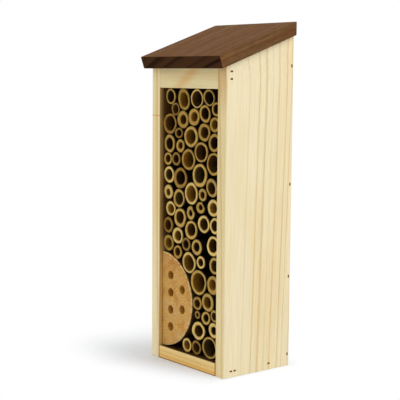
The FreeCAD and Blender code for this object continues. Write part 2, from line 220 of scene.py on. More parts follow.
def brad_wires():
    """Each brad's wire: the corners of its head in order, and the push from its head to its point."""
    wires = []
    for corners in separate_solids("brad_nails"):
        corners.sort(key=lambda corner: (corner - house_middle).length, reverse=True)
        head, point = corners[:WIRE_CORNERS], corners[WIRE_CORNERS:]
        centre = middle_of(head)
        push = middle_of(point) - centre
        first = head[0] - centre
        second = push.normalized().cross(first)
        head.sort(key=lambda corner: math.atan2(
            (corner - centre).dot(second), (corner - centre).dot(first)))
        wires.append((head, push))
    return wires


def brad_slots(finish):
    """What the brads leave in the wood, with the finish of the wood beside them."""
    shape = bmesh.new()
    for head, push in brad_wires():
        centre = middle_of(head)
        run_out = push.normalized() * SLOT_RUN_OUT
        mouth = [corner + (corner - centre).normalized() * SLOT_MARGIN - run_out for corner in head]
        add_prism(shape, mouth, push + run_out)
    slots = place_mesh("brad_slots", shape)
    slots.data.materials.append(finish)
    return slots


def keep_shape(piece):
    """Make the result of a piece's modifiers its own mesh."""
    depsgraph = bpy.context.evaluated_depsgraph_get()
    made = bpy.data.meshes.new_from_object(
        piece.evaluated_get(depsgraph), preserve_all_data_layers=True, depsgraph=depsgraph)
    piece.modifiers.clear()
    piece.data = made
    made.name = piece.name


def cut_out(piece, tool):
    """Cut a tool's shape out of a piece."""
    cut = piece.modifiers.new("cut_out", "BOOLEAN")
    cut.object = tool
    cut.operation = "DIFFERENCE"
    cut.solver = "EXACT"
    cut.material_mode = "TRANSFER"
    keep_shape(piece)


def fit(piece, finish_slot, *nodes):
    """Give a piece its place in the house, instead of the nodes that it stands for."""
    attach(piece, "root")
    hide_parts(*nodes)


def nailed_board(node, finish, finish_slot, *more_cutters):
    """A board as large as its node and no higher than the roof's underside, with the brads' slots in it."""
    low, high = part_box(node)
    front_top = min(high.z, roof_line(low.y))
    rear_top = min(high.z, roof_line(high.y))
    outline = [(low.y, low.z), (high.y, low.z), (high.y, rear_top), (low.y, front_top)]
    board = sawn_board(f"{node}_timber", finish, outline, low.x, high.x)
    for cutter in (slot_cutter, *more_cutters):
        cut_out(board, cutter)
    fit(board, finish_slot, node)


def colour(screen):
    """A screen colour, 0 to 255, as the share of light that a surface gives back."""
    return (*Color([value / 255 for value in screen]).from_srgb_to_scene_linear(), 1.0)


class Value:
    """A number, vector or colour that one socket of a node tree gives, and what is made from it."""

    def __init__(self, tree, socket):
        self.tree = tree
        self.socket = socket

    def __add__(self, other):
        return reckon("ADD", self, other)

    def __sub__(self, other):
        return reckon("SUBTRACT", self, other)

    def __rsub__(self, other):
        return reckon("SUBTRACT", other, self)

    def __mul__(self, other):
        return reckon("MULTIPLY", self, other)

    def __truediv__(self, other):
        return reckon("DIVIDE", self, other)

    def dot(self, way):
        """How far a vector goes along a way."""
        return reckon("DOT_PRODUCT", self, way, result="Value")

    def length(self):
        """A vector's length."""
        return reckon("LENGTH", self, result="Value")

    def part(self, axis):
        """A vector's X, Y or Z."""
        return add_node(self.tree, "ShaderNodeSeparateXYZ", axis, {"Vector": self})

    def spread(self, low, high, low_result=0.0, high_result=1.0):
        """Ease from one result to another as a number goes from low to high."""
        inputs = {
            "Value": self, "From Min": low, "From Max": high, "To Min": low_result, "To Max": high_result}
        return add_node(self.tree, "ShaderNodeMapRange", "Result", inputs, interpolation_type="SMOOTHSTEP")

    def cloud(self, count, detail=SOFT, result=0):
        """Soft uneven patches over places, about this many to the metre, as a grey."""
        inputs = {"Vector": self, "Scale": count, "Detail": detail}
        return add_node(self.tree, "ShaderNodeTexNoise", result, inputs)

    def grain(self, pattern, detail=SOFT, result=0):
        """Uneven patches over places in a trunk, drawn out along it."""
        count, along = pattern
        return (self * (1, 1, along)).cloud(count, detail, result)

    def mix(self, first, second):
        """A colour between two, where this is the share of the second."""
        # The node takes colours at its sockets 6 and 7 and gives one at its socket 2.
        return add_node(self.tree, "ShaderNodeMix", 2, {0: self, 6: first, 7: second}, data_type="RGBA")

    def tint(self, paint, tint):
        """A colour of which this share is multiplied by a tint."""
        return self.mix(paint, paint * colour(tint))

    def shade(self, paint, shades, tones=MOST_TONES):
        """A colour shaded by this pattern, from one shade to another between two of its tones."""
        return paint * self.spread(*tones, *shades)

    def to(self, socket):
        """Link this to a socket."""
        self.tree.links.new(self.socket, socket)


def add_node(tree, kind, result, inputs=None, **settings):
    """Add a node to a tree, for one of its results. An input is a plain value to set or a Value to link."""
    node = tree.nodes.new(kind)
    for setting, value in settings.items():
        setattr(node, setting, value)
    for name, value in (inputs or {}).items():
        if isinstance(value, Value):
            value.to(node.inputs[name])
        else:
            node.inputs[name].default_value = value
    return Value(tree, node.outputs[result])


def is_number(value):
    """Whether a plain value, or what a Value gives, is a single number."""
    if isinstance(value, Value):
        return value.socket.type == "VALUE"
    return isinstance(value, (int, float))


def as_vector(value):
    """A plain number, vector or colour as three numbers. A Value stays, as its link does the same."""
    if isinstance(value, Value):
        return value
    return (value, value, value) if is_number(value) else value[:3]


def reckon(operation, *values, result=0):
    """A sum on numbers, or on vectors if one of them is a vector or a colour."""
    kind = "ShaderNodeMath"
    if not all(is_number(value) for value in values):
        kind = "ShaderNodeVectorMath"
        values = [as_vector(value) for value in values]
    tree = next(value.tree for value in values if isinstance(value, Value))
    return add_node(tree, kind, result, dict(enumerate(values)), operation=operation)


def new_finish(name):
    """A new material, and the place on the piece that has it."""
    finish = bpy.data.materials.new(name)
    finish.use_nodes = True
    return finish, add_node(finish.node_tree, "ShaderNodeTexCoord", "Object")


def trunk_of(place, pith, grain, bow=None):
    """Places counted from the middle line of the trunk that a piece was sawn from."""
    inputs = {"Vector": place, "Location": pith, "Rotation": grain}
    trunk = add_node(place.tree, "ShaderNodeMapping", "Vector", inputs, vector_type="TEXTURE")
    if bow is None:
        return trunk
    aside, start, end = bow
    return trunk + trunk.part("Z").spread(start, end) * aside


def radius_of(trunk):
    """Distance from a trunk's middle line."""
    return (trunk * (1, 1, 0)).length()


def growth_rings(trunk, width, first=0.0, sway=0.012, late_from=0.7):
    """Growth rings round a trunk's middle line: 0 in a ring's early part, up to 1 in its late part."""
    drift = trunk.grain(RING_WAVES, SMOOTH, "Color") - MIDDLE_TONE
    years = (radius_of(trunk + drift * (sway, sway, 0)) - first) / width
    inputs = {"W": years, "Scale": YEAR_PACE, "Detail": 0.0}
    weather = add_node(trunk.tree, "ShaderNodeTexNoise", 0, inputs, noise_dimensions="1D")
    years = (weather - MIDDLE_TONE) * YEAR_SWING + years
    season = reckon("FRACT", years)
    late = season.spread(late_from, LATE_FULL) * season.spread(*LATE_END, 1.0, 0.0)
    inputs = {"W": reckon("FLOOR", years)}
    year = add_node(trunk.tree, "ShaderNodeTexWhiteNoise", "Value", inputs, noise_dimensions="1D")
    return late * year.spread(0.0, 1.0, FAINT_YEAR, 1.0)


def facing(place, way):
    """1 on faces that are turned to a way, and 0 on the others."""
    return add_node(place.tree, "ShaderNodeNewGeometry", "Normal").dot(way).spread(*TURNED)


def weathered(finish, paint, pattern, relief, rough, shine=WOOD_SHINE, bump=WOOD_BUMP):
    """Give a material its colour, with roughness from a pattern and small bumps from a relief."""
    strength, deep = bump
    inputs = {"Height": relief, "Strength": strength, "Distance": deep}
    surface = finish.node_tree.nodes["Principled BSDF"].inputs
    paint.to(surface["Base Color"])
    pattern.spread(*MOST_TONES, *rough).to(surface["Roughness"])
    add_node(finish.node_tree, "ShaderNodeBump", "Normal", inputs).to(surface["Normal"])
    surface["Specular IOR Level"].default_value = shine


def timber(name, early, late, from_trunk, rings, marks=None):
    """Sawn timber, coloured by growth rings round its pith, so that each face shows its own figure.

    Early and late are the two colours of a ring, and marks is a function that adds a board's own marks.
    """
    finish, place = new_finish(name)
    trunk = trunk_of(place, **from_trunk)
    ring = growth_rings(trunk, **rings)
    fibre = trunk.grain(FIBRES, FINE)
    paint = ring.mix(colour(early), colour(late))
    paint = trunk.grain(FLUSHES).spread(*FLUSH_TONES).tint(paint, PINE_FLUSH)
    paint = fibre.shade(paint, FIBRE_SHADES)
    if marks:
        paint = marks(place, paint)
    weathered(finish, paint, fibre, ring * RING_RELIEF + fibre, PINE_ROUGH)
    return finish


def panel_marks(place, paint, inside, low_edge):
    """A side panel's sawn edges, and its inner face in painted shade, darker behind the front and above the
    log.

    Low_edge is the share of the front edge's tint that is left low down.
    """
    height, depth = place.part("Z"), place.part("Y")
    front, inner = facing(place, FRONT), facing(place, inside)
    paint = facing(place, REAR).tint(paint, PINE_EDGE)
    paint = (front * height.spread(*EDGE_FADE, low_edge, 1.0)).tint(paint, PINE_EDGE)
    glow = front * height.spread(*EDGE_FADE, LOW_GLOW, HIGH_GLOW)
    # painted light from the ground on the front edges, and painted shade over the inner face
    paint = inner.tint(paint * (glow + 1.0), PINE_INSIDE_SHADE)
    # deeper painted shade above the log and behind the front, and a painted shadow line where the log meets
    # the wall
    above = height.spread(log_high.z - DEEP_SHADE_RISE, log_high.z + DEEP_SHADE_RISE, BESIDE_LOG_SHARE, 1.0)
    behind = depth.spread(panel_low.y, panel_low.y + INSIDE_FADE, FRONT_SHARE, 1.0)
    at_log = height.spread(log_high.z, log_high.z - LOG_SHADOW_LINE, 0.0, LOG_SHADOW_LINE_SHARE)
    line = at_log * depth.spread(log_low.y - LOG_SHADOW_LINE, log_low.y)
    return (inner * reckon("MAXIMUM", above * behind, line)).tint(paint, PINE_DEEP_SHADE)


def right_marks(place, paint):
    """The right panel's front edge is warmer under the roof."""
    paint = panel_marks(place, paint, LEFT, RIGHT_LOW_EDGE)
    top = facing(place, FRONT) * place.part("Z").spread(*RIGHT_TOP)
    return top.tint(paint, RIGHT_TOP_TINT)


def left_marks(place, paint):
    """The left panel has a pin knot across its front edge."""
    paint = panel_marks(place, paint, RIGHT, LEFT_LOW_EDGE)
    away = (place - KNOT_AT) * (0, 1, 1)
    return away.length().spread(KNOT_RADIUS, 0.0).tint(paint, KNOT_TINT)


def iron_stained():
    """Wood crushed by a brad and browned by its rust."""
    finish, place = new_finish("iron_stained_wood")
    flecks = place.cloud(IRON_FLECKS, FINE)
    paint = flecks.spread(*MOST_TONES, *IRON_SHADES) * colour(IRON_STAIN)
    weathered(finish, paint, flecks, flecks, IRON_ROUGH)
    return finish


slot_cutter = brad_slots(iron_stained())
right_pine = timber("right_panel_pine", PINE_EARLY, PINE_LATE, RIGHT_TRUNK, RIGHT_RINGS, right_marks)
nailed_board("right_side_panel", right_pine, "pine")
left_pine = timber("left_panel_pine", LEFT_EARLY, LEFT_LATE, LEFT_TRUNK, LEFT_RINGS, left_marks)
nailed_board("left_side_panel", left_pine, "pine")


# Floor: a short pine board between the side panels, grain across the house, warmer in colour than they are.
# Its front edge shows below the canes, and it is held by three brads through each panel.
FLOOR_EARLY = (255, 224, 152)
FLOOR_LATE = (242, 202, 122)
FLOOR_WARM = (246, 226, 186)     # tint of its lower part
FLOOR_WARM_FROM = 0.008          # height
JOINT_AND_CONTACT_SHADOW = (166, 134, 88)      # dark joints along its ends, and a painted contact shadow along the ground
JOINT_WIDTH = 0.0006
SHADE_TINT = (80, 60, 40)        # on its top, under the canes
SHADE_FADE = 0.002               # depth at which it is full
UP = (0.0, 0.0, 1.0)
ACROSS_GRAIN = (0.0, math.pi / 2, 0.0)
FLOOR_TRUNK = {"pith": (0.0, -0.050, 0.040), "grain": ACROSS_GRAIN}
FLOOR_RINGS = {"width": 0.0048, "late_from": 0.3}

floor_low, floor_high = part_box("floor_board")


def floor_marks(place, paint):
    """Warmer low down, dark joint lines, painted shade along the ground and on the top under the canes."""
    height, across = place.part("Z"), reckon("ABSOLUTE", place.part("X"))
    paint = height.spread(FLOOR_WARM_FROM, 0.0).tint(paint, FLOOR_WARM)
    end = across.spread(floor_high.x - 2 * JOINT_WIDTH, floor_high.x - JOINT_WIDTH)
    # painted contact shadow along the ground
    ground_shadow = height.spread(2 * JOINT_WIDTH, JOINT_WIDTH)
    paint = reckon("MAXIMUM", end, ground_shadow).tint(paint, JOINT_AND_CONTACT_SHADOW)
    # painted shade on the top, under the canes
    covered = place.part("Y").spread(floor_low.y, floor_low.y + SHADE_FADE)
    return (facing(place, UP) * covered).tint(paint, SHADE_TINT)


floor_pine = timber("floor_pine", FLOOR_EARLY, FLOOR_LATE, FLOOR_TRUNK, FLOOR_RINGS, floor_marks)
nailed_board("floor_board", floor_pine, "pine")


# Lintel: a pine batten across the top of the opening, with its upper edge planed to the roof's pitch.
# It sits flush between the side panels on two brads through each, and has a warm streak near its middle.
LINTEL_EARLY = (243, 225, 170)
LINTEL_LATE = (236, 210, 154)
LINTEL_TRUNK = {"pith": (0.0, -0.010, 0.222), "grain": ACROSS_GRAIN}
LINTEL_RINGS = {"width": 0.0110, "late_from": 0.3}
STREAK_MIDDLE = (-0.0005, -0.0375, 0.253)
STREAK_ACROSS = (-0.593, 0.0, 0.805)
STREAK_LEAST = 0.00224           # half its width at the narrowest
STREAK_WAVER = 0.0112            # and what its uneven edges add to that at most
STREAK_WAVES = 180.0             # to the metre, longer across the house
STREAK_WAVE_SHAPE = (0.2, 1, 1)
STREAK_TINT = (250, 230, 210)


def lintel_marks(place, paint):
    """The streak, with uneven edges."""
    away = reckon("ABSOLUTE", (place - STREAK_MIDDLE).dot(STREAK_ACROSS))
    edge = (place * STREAK_WAVE_SHAPE).cloud(STREAK_WAVES) * STREAK_WAVER + STREAK_LEAST
    return away.spread(edge, 0.0).tint(paint, STREAK_TINT)


lintel_pine = timber("lintel_pine", LINTEL_EARLY, LINTEL_LATE, LINTEL_TRUNK, LINTEL_RINGS, lintel_marks)
nailed_board("front_lintel", lintel_pine, "pine")


# Rear panel: thin plywood let in between the side panels, its face veneer peeled from a softwood log.
# It is nailed through them close to their rear edges, and a round hole near its top takes a hanging screw.
PLY_EARLY = (226, 200, 152)
PLY_LATE = (209, 175, 122)
PLY_TRUNK = {"pith": (0.015, 0.330, 0.0), "grain": (0.03, 0.012, 0.0)}
PLY_RINGS = {"width": 0.0022, "sway": 0.03, "late_from": 0.3}
ROUND_SIDES = 48
MILLIMETRES = 1000               # to the metre

rear_low, rear_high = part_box("back_panel")
hanging_hole = next(mount for mount in frame["record"]["mounts"] if mount["name"] == "hanging_hole")
hole_across, _, hole_up = hanging_hole["pos_m"]
hole_radius = hanging_hole["dims"]["r_mm"] / MILLIMETRES


def way_up(degrees):
    """The way at an angle up from level, seen from the front."""
    return Vector((math.cos(math.radians(degrees)), 0, math.sin(math.radians(degrees))))


def ways_round():
    """The ways to the points of a circle, seen from the front."""
    return [way_up(360 * step / ROUND_SIDES) for step in range(ROUND_SIDES)]


def round_cutter(name, centres, radius, start, depth, point=0.0):
    """Round bits that enter from the front at a depth, each with a cone for its point."""
    shape = bmesh.new()
    for across, up in centres:
        rim = [shape.verts.new(Vector((across, start, up)) + way * radius) for way in ways_round()]
        deep = [shape.verts.new(vert.co + Vector((0, depth, 0))) for vert in rim]
        tip = shape.verts.new((across, start + depth + point, up))
        shape.faces.new(rim)
        join_loops(shape, rim, deep)
        for index in range(ROUND_SIDES):
            shape.faces.new((deep[index - 1], deep[index], tip))
    bmesh.ops.recalc_face_normals(shape, faces=shape.faces)
    return place_mesh(name, shape)


ply = timber("rear_ply", PLY_EARLY, PLY_LATE, PLY_TRUNK, PLY_RINGS)
hanger = round_cutter("hanger_bit", [(hole_across, hole_up)], hole_radius, rear_low.y - SLOT_RUN_OUT,
                      rear_high.y - rear_low.y + 2 * SLOT_RUN_OUT)
nailed_board("back_panel", ply, "back_ply", hanger)


# Half log: a length of log in its thin bark, split down the middle, with its flat side to the left wall.
# Its sawn end faces the front, with arcs of growth rings round the pith and six drilled nesting holes.
LOG_EARLY = (224, 178, 109)
LOG_LATE = (210, 161, 94)
LOG_LATE_SHARE = 0.6             # of the late colour, in the strongest rings
LOG_RINGS = {"width": 0.0030, "sway": 0.006, "late_from": 0.2}
LOG_GRAIN = (-math.pi / 2, 0.0, 0.0)
LOG_GOLD = (252, 247, 224)       # tints of the yellower and the redder patches
LOG_RED = (243, 225, 206)
GOLD_PATCHES = 40.0              # to the metre
GOLD_TONES = (0.36, 0.56)
RED_PATCHES = 75.0
RED_TONES = (0.5, 0.68)
RAYS = 900.0
RAY_SHAPE = (1, 0.12, 0.3)       # narrow round the pith, long outwards and along the log
RAY_RADIUS = 0.040               # at which they are that many to the metre
RAY_SHADES = (0.86, 1.09)
SPECKLES = (700.0, 0.1)
SPECKLE_SHADES = (0.84, 1.12)
LOG_TOP = (242, 232, 222)        # tint towards its top
LOG_TOP_SPAN = (0.2, 0.9)        # heights, in radii above its middle
LOG_BORED = (240, 228, 168)      # tint inside the holes
LOG_BORED_SPAN = (0.00018, 0.00072)  # depths over which it sets in
LOG_RIND = (232, 198, 138)
RIND_SPAN = (0.955, 0.98)        # shares of the radius over which it sets in
RIND_FLECKS = (300.0, 0.2)
RIND_TONES = (0.4, 0.6)
LOG_BARK = (62, 40, 17)
LOG_BARK_SPAN = (0.00036, 0.00135)
LOG_RELIEF = 0.4
LOG_ROUGH = (0.57, 0.75)
LOG_STEPS = 96
LOG_UNEVEN = 0.006               # share of the radius that the surface wanders inwards
LOG_WAVES = ((0.3, 5, 0.6), (0.2, 11, 0.0))  # share of that, waves in a full turn, and where they start
LOG_EASED_END = 0.0009
SHARP_EDGE = 30                  # degrees
DRILL_POINT = 0.0015
IN_BORE = 1.02                   # corners within this many radii of a bore's middle belong to it

log_radius = log_high.x - log_low.x
log_middle = Vector((log_low.x, log_low.y, (log_low.z + log_high.z) / 2))


def log_surface(turn):
    """Place on the log's front outline at an angle up from level."""
    hollow = sum(share * (1 - math.sin(waves * turn + start)) for share, waves, start in LOG_WAVES)
    reach = log_radius * (1 - LOG_UNEVEN * hollow)
    return log_middle + Vector((reach * math.cos(turn), 0, reach * math.sin(turn)))


def split_log():
    """The log before it is drilled, with its sawn ends eased."""
    shape = bmesh.new()
    turns = [math.pi * (step / LOG_STEPS - 0.5) for step in range(LOG_STEPS + 1)]
    add_prism(shape, [log_surface(turn) for turn in turns], Vector((0, log_high.y - log_low.y, 0)))
    ends = [edge for edge in shape.edges if abs(edge.verts[0].co.y - edge.verts[1].co.y) < SAME_PLACE]
    ease(shape, ends, LOG_EASED_END)
    return place_mesh("half_log", shape)


def drilled_holes():
    """Middle, radius and depth of the holes, measured on the log's own node."""
    openings = frame["record"]["physics"]["openings"]
    boxes = [opening["box_m"] for opening in openings if opening["name"].startswith("log_hole")]
    centres = [((low[0] + high[0]) / 2, (low[2] + high[2]) / 2) for low, high in boxes]
    corners = [vert.co for vert in frame["nodes"]["drilled_half_log"].data.vertices]
    across, up = centres[0]

    def reach(corner):
        return math.hypot(corner.x - across, corner.z - up)

    radius = min(reach(corner) for corner in corners if abs(corner.y - log_low.y) < SAME_PLACE)
    depths = [corner.y - log_low.y for corner in corners if reach(corner) < radius * IN_BORE]
    return centres, radius, max(depths)


def smooth(piece):
    """Shade a piece as rounded, apart from its sharp edges."""
    piece.data.shade_smooth()
    piece.data.set_sharp_from_angle(angle=math.radians(SHARP_EDGE))


def log_end_grain():
    """Sawn end grain: faint rings and rays in patches of colour, a pale rind, and bark behind the end."""
    finish, place = new_finish("log_end_grain")
    trunk = trunk_of(place, log_middle, LOG_GRAIN)
    ring = growth_rings(trunk, **LOG_RINGS)
    radius = radius_of(trunk)
    turned = reckon("ARCTAN2", trunk.part("Y"), trunk.part("X")) * RAY_RADIUS
    inputs = {"X": turned, "Y": radius, "Z": trunk.part("Z")}
    ray = (add_node(place.tree, "ShaderNodeCombineXYZ", 0, inputs) * RAY_SHAPE).cloud(RAYS, FINE)
    paint = (ring * LOG_LATE_SHARE).mix(colour(LOG_EARLY), colour(LOG_LATE))
    paint = trunk.cloud(GOLD_PATCHES).spread(*GOLD_TONES).tint(paint, LOG_GOLD)
    paint = trunk.cloud(RED_PATCHES, FINE).spread(*RED_TONES).tint(paint, LOG_RED)
    paint = ray.shade(paint, RAY_SHADES)
    paint = trunk.grain(SPECKLES).shade(paint, SPECKLE_SHADES)
    above = (place.part("Z") - log_middle.z) / log_radius
    paint = above.spread(*LOG_TOP_SPAN).tint(paint, LOG_TOP)
    depth = place.part("Y") - log_low.y
    paint = depth.spread(*LOG_BORED_SPAN).tint(paint, LOG_BORED)
    outside = (radius / log_radius).spread(*RIND_SPAN)
    flecks = trunk.grain(RIND_FLECKS).spread(*RIND_TONES)
    paint = (flecks * outside).mix(paint, colour(LOG_RIND))
    paint = (outside * depth.spread(*LOG_BARK_SPAN)).mix(paint, colour(LOG_BARK))
    weathered(finish, paint, ray, ring * LOG_RELIEF + ray, LOG_ROUGH)
    return finish


half_log = split_log()
half_log.data.materials.append(log_end_grain())
hole_centres, drill_radius, drill_depth = drilled_holes()
drill = round_cutter("drill_bit", hole_centres, drill_radius, log_low.y - SLOT_RUN_OUT,
                     drill_depth + SLOT_RUN_OUT - DRILL_POINT, DRILL_POINT)
cut_out(half_log, drill)
smooth(half_log)
fit(half_log, "log_wood", "drilled_half_log")


# Canes: lengths of dried bamboo in many sizes, sawn level at the front and packed until they hold fast.
# Each is a tube behind its mouth, closed by a node of its own, and no two are alike in round or colour.
CANE_SEED = 11
EASED_RIM = 0.00035
UNEVEN_ROUND = 0.18              # how far a cane is from round, in the pattern of waves below
ROUND_WAVES = 1.1                # to a radius
ROUND_LEVEL = 0.52               # mean of that pattern
CANES_APART = 9.0                # in it, so that no two share their waves
OFF_CENTRE = 0.16                # shift of a bore, as a share of the wall
SAW_SLANT = 0.03
SET_BACK = 0.0008                # some canes are pushed in a little further
RIM_TAN = (202, 163, 82)
RIM_PALE = (239, 202, 116)
RIM_AMBER = (185, 145, 65)
RIM_BROWN = (159, 119, 48)
# Linings are painted darker than the pale pith, for the shade in the bores; the black one is painted shade.
BORE_BROWN = (92, 60, 18)
BORE_GOLDEN = (142, 99, 25)
BORE_AMBER = (164, 117, 36)
BORE_OLIVE = (86, 67, 30)
BORE_SHADE_BLACK = (60, 40, 15)
# painted shade on the canes' sides, in the gaps between them
SHADE_BETWEEN_CANES = (24, 14, 6)
# Canes of each colour, numbered from the bottom up, the stout ones first and the thin ones from 46.
# The others are tan with a brown bore.
# Rims are grouped by how bright they look, so the top canes' darker rims are partly painted shade.
RIM_GROUPS = {
    RIM_PALE: (1, 4, 5, 10, 14, 15, 18, 19, 21, 22, 24, 25, 28, 43, 49),
    RIM_AMBER: (6, 9, 12, 30, 31, 34, 36, 38, 39, 40, 41, 42, 47, 50, 53, 57, 60),
    RIM_BROWN: (2, 17, 27, 37, 51, 56, 58, 59),
}
BORE_GROUPS = {
    BORE_GOLDEN: (7, 8, 10, 12, 15, 24, 31, 35, 38, 40, 42),
    BORE_AMBER: (1, 9, 21, 22, 25),
    BORE_OLIVE: (3, 23, 28, 29),
    BORE_SHADE_BLACK: (5, 13, 27, 33, 34, 41, 44, 45, 46, 47, 51, 52, 53, 56, 58, 60),
}
# Canes that are far from round: how much longer and shorter than the mean, and the long way's degrees.
OVAL_CANES = {
    4: (0.04, 20), 6: (0.04, 20), 8: (0.035, 90), 9: (0.035, 90), 23: (0.03, 90), 25: (0.04, 90),
    26: (0.05, 127), 32: (0.035, 15), 33: (0.035, 90), 34: (0.04, 60), 35: (0.035, 20), 39: (0.02, 117),
    41: (0.07, 130), 42: (0.11, 108), 45: (0.065, 146), 52: (0.05, 90), 53: (0.06, 170), 58: (0.09, 5),
}
# Canes with a dent in one side: its depth as a share of the radius, and its degrees.
DENTED_CANES = {52: (0.25, 40), 53: (0.2, 32)}
DENT_EDGE = 0.82                 # cosine of half the angle that a dent takes up
# Two shades of a rim or bore, and what one turns to the other over: a part of the wall, the range of each
# cane's own number, the tones of a pattern, or a depth.
BORE_EDGE = ((0.66, 1.0), (0.0, 0.25))
SKIN_EDGE = ((1.0, 0.5), (0.78, 1.0))
OWN_SHADES = ((0.88, 1.1), (-1.0, 1.0))
FIBRE_END_SHADES = ((0.8, 1.0), (0.1, 0.4))
# painted shade down a bore: its colour falls to this share by this depth
BORE_DEPTH_SHADE = ((1.0, 0.3), (0.0, 0.014))
CLEAR_TONES = (0.35, 0.65)       # for a pattern with clear patches
RIM_PATCHES = 260.0              # to the metre
RIM_SHADES = (0.87, 1.08)
FIBRE_ENDS = 1500.0
FIBRE_END_SHAPE = (1, 0.02, 1)   # long behind the rim
CANE_FIBRES = 1200.0
CANE_FIBRE_SHAPE = (1, 0.03, 1)
CANE_FIBRE_SHADES = (0.9, 1.06)
LINING_FLUFF = 700.0
FLUFF_SHADES = (0.7, 1.2)
BORE_SPAN = (0.0001, 0.0008)     # depths over which the rim turns to the lining, on the wall's inner half
INNER_HALF = (0.5, 0.1)
SKIN_SPAN = (0.0, 0.0010)        # or to the painted shade between the canes, on its outer half
OUTER_HALF = (0.5, 0.9)
CANE_ROUGH = (0.47, 0.65)
# One line for each loop of a cane, from the rear end round the rim to the bottom of the bore. Columns are
# shares of the outer radius, bore radius and rim easing that make up its radius, then shares of the length,
# bore depth and easing that it lies behind the mouth.
CANE_LOOPS = [
    (1, 0, 0, 1, 0, 0),
    (1, 0, 0, 0.5, 0, 0),
    (1, 0, 0, 0, 0, 8),
    (1, 0, 0, 0, 0, 1),
    (1, 0, -1, 0, 0, 0),
    (0.5, 0.5, 0, 0, 0, 0),
    (0, 1, 1, 0, 0, 0),
    (0, 1, 0, 0, 0, 1),
    (0, 1, 0, 0, 0, 8),
    (0, 1, 0, 0, 0.5, 0),
    (0, 1, 0, 0, 1, -3),
    (0, 1, -3, 0, 1, 0),
]
REAR_MIDDLE = (0, 0, 0, 1, 0, 0)
BORE_MIDDLE = (0, 0, 0, 0, 1, 1)
CANE_SHARES = ("skin", "hollow", "ease_out", "full", "nest", "ease_back")


def cane_blank():
    """A cane of no particular size, as loops of points that hold their shares of the sizes."""
    shape = bmesh.new()
    layers = [shape.verts.layers.float.new(name) for name in CANE_SHARES]
    around = shape.verts.layers.float_vector.new("around")

    def add_point(way, shares):
        vert = shape.verts.new(way)
        vert[around] = way
        for layer, share in zip(layers, shares):
            vert[layer] = share
        return vert

    loops = [[add_point(way, shares) for way in ways_round()] for shares in CANE_LOOPS]
    for first, second in zip(loops, loops[1:]):
        join_loops(shape, first, second)
    rear = add_point(Vector(), REAR_MIDDLE)
    bottom = add_point(Vector(), BORE_MIDDLE)
    for index in range(ROUND_SIDES):
        shape.faces.new((loops[0][index], loops[0][index - 1], rear))
        shape.faces.new((loops[-1][index - 1], loops[-1][index], bottom))
    return place_mesh("cane_blank", shape)


def front_of(corners):
    """The depth of the foremost corner."""
    return min(corner.y for corner in corners)


def open_canes(node):
    """The corners of each cane in a node, from the lowest up. A hollow between two walls is not a cane."""
    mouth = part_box(node)[0].y
    canes = [corners for corners in separate_solids(node) if front_of(corners) - mouth < SAME_PLACE]
    return sorted(canes, key=lambda corners: middle_of(corners).z)


def cane_measures(corners):
    """A cane's mouth and sizes, measured on its solid."""
    front = front_of(corners)
    mouth = [corner for corner in corners if corner.y - front < SAME_PLACE]
    middle = middle_of(mouth)
    reaches = [(corner - middle).length for corner in mouth]
    bore = min(reaches)
    behind = [corner for corner in corners if corner.y - front > SAME_PLACE]
    in_bore = [corner for corner in behind if (corner - middle).xz.length < bore * IN_BORE]
    return {
        "middle": middle,
        "outer": max(reaches),
        "bore": bore,
        "length": max(corner.y for corner in corners) - front,
        "nest_depth": front_of(in_bore) - front,
    }


def group_colour(cane, groups, usual):
    """The colour of the group that a cane is in, as a vector."""
    paint = next((paint for paint, canes in groups.items() if cane in canes), usual)
    return Vector(colour(paint)[:3])


def cane_look(cane):
    """A cane's oval, dent, rim and lining."""
    oval, long_turn = OVAL_CANES.get(cane, (0, 0))
    dent, dent_turn = DENTED_CANES.get(cane, (0, 0))
    return {
        "oval": oval,
        "long_way": way_up(long_turn),
        "dent": dent,
        "dent_way": way_up(dent_turn),
        "rim_colour": group_colour(cane, RIM_GROUPS, RIM_TAN),
        "lining": group_colour(cane, BORE_GROUPS, BORE_BROWN),
    }


def marked_points(name, rows):
    """A piece with a point at each row's middle, which holds the row's numbers and vectors."""
    mesh = bpy.data.meshes.new(name)
    mesh.from_pydata([row["middle"] for row in rows], [], [])
    for title, example in rows[0].items():
        values = [row[title] for row in rows]
        if isinstance(example, Vector):
            parts = [part for value in values for part in value]
            mesh.attributes.new(title, "FLOAT_VECTOR", "POINT").data.foreach_set("vector", parts)
        else:
            mesh.attributes.new(title, "FLOAT", "POINT").data.foreach_set("value", values)
    return link_piece(name, mesh)


def new_geometry_tree(name, inputs):
    """A geometry tree with these named inputs: itself, and the inputs' values."""
    tree = bpy.data.node_groups.new(name, "GeometryNodeTree")
    for title, kind in {"Geometry": "Geometry", **inputs}.items():
        tree.interface.new_socket(title, in_out="INPUT", socket_type=f"NodeSocket{kind}")
    tree.interface.new_socket("Geometry", in_out="OUTPUT", socket_type="NodeSocketGeometry")
    sockets = tree.nodes.new("NodeGroupInput").outputs
    return tree, {title: Value(tree, sockets[title]) for title in ("Geometry", *inputs)}


def held(tree, name, kind="FLOAT"):
    """The number or vector of this name that a point holds."""
    return add_node(tree, "GeometryNodeInputNamedAttribute", "Attribute", {"Name": name}, data_type=kind)


def store(geometry, name, value, kind="FLOAT"):
    """Let points hold a number or vector."""
    inputs = {"Geometry": geometry, "Name": name, "Value": value}
    return add_node(
        geometry.tree, "GeometryNodeStoreNamedAttribute", 0, inputs, data_type=kind, domain="POINT")


def copies(points, blank, **turn):
    """A copy of a blank at each point, as one mesh."""
    shape = add_node(points.tree, "GeometryNodeObjectInfo", "Geometry", {"Object": blank})
    inputs = {"Points": points, "Instance": shape, **turn}
    placed = add_node(points.tree, "GeometryNodeInstanceOnPoints", 0, inputs)
    return add_node(points.tree, "GeometryNodeRealizeInstances", 0, {"Geometry": placed})


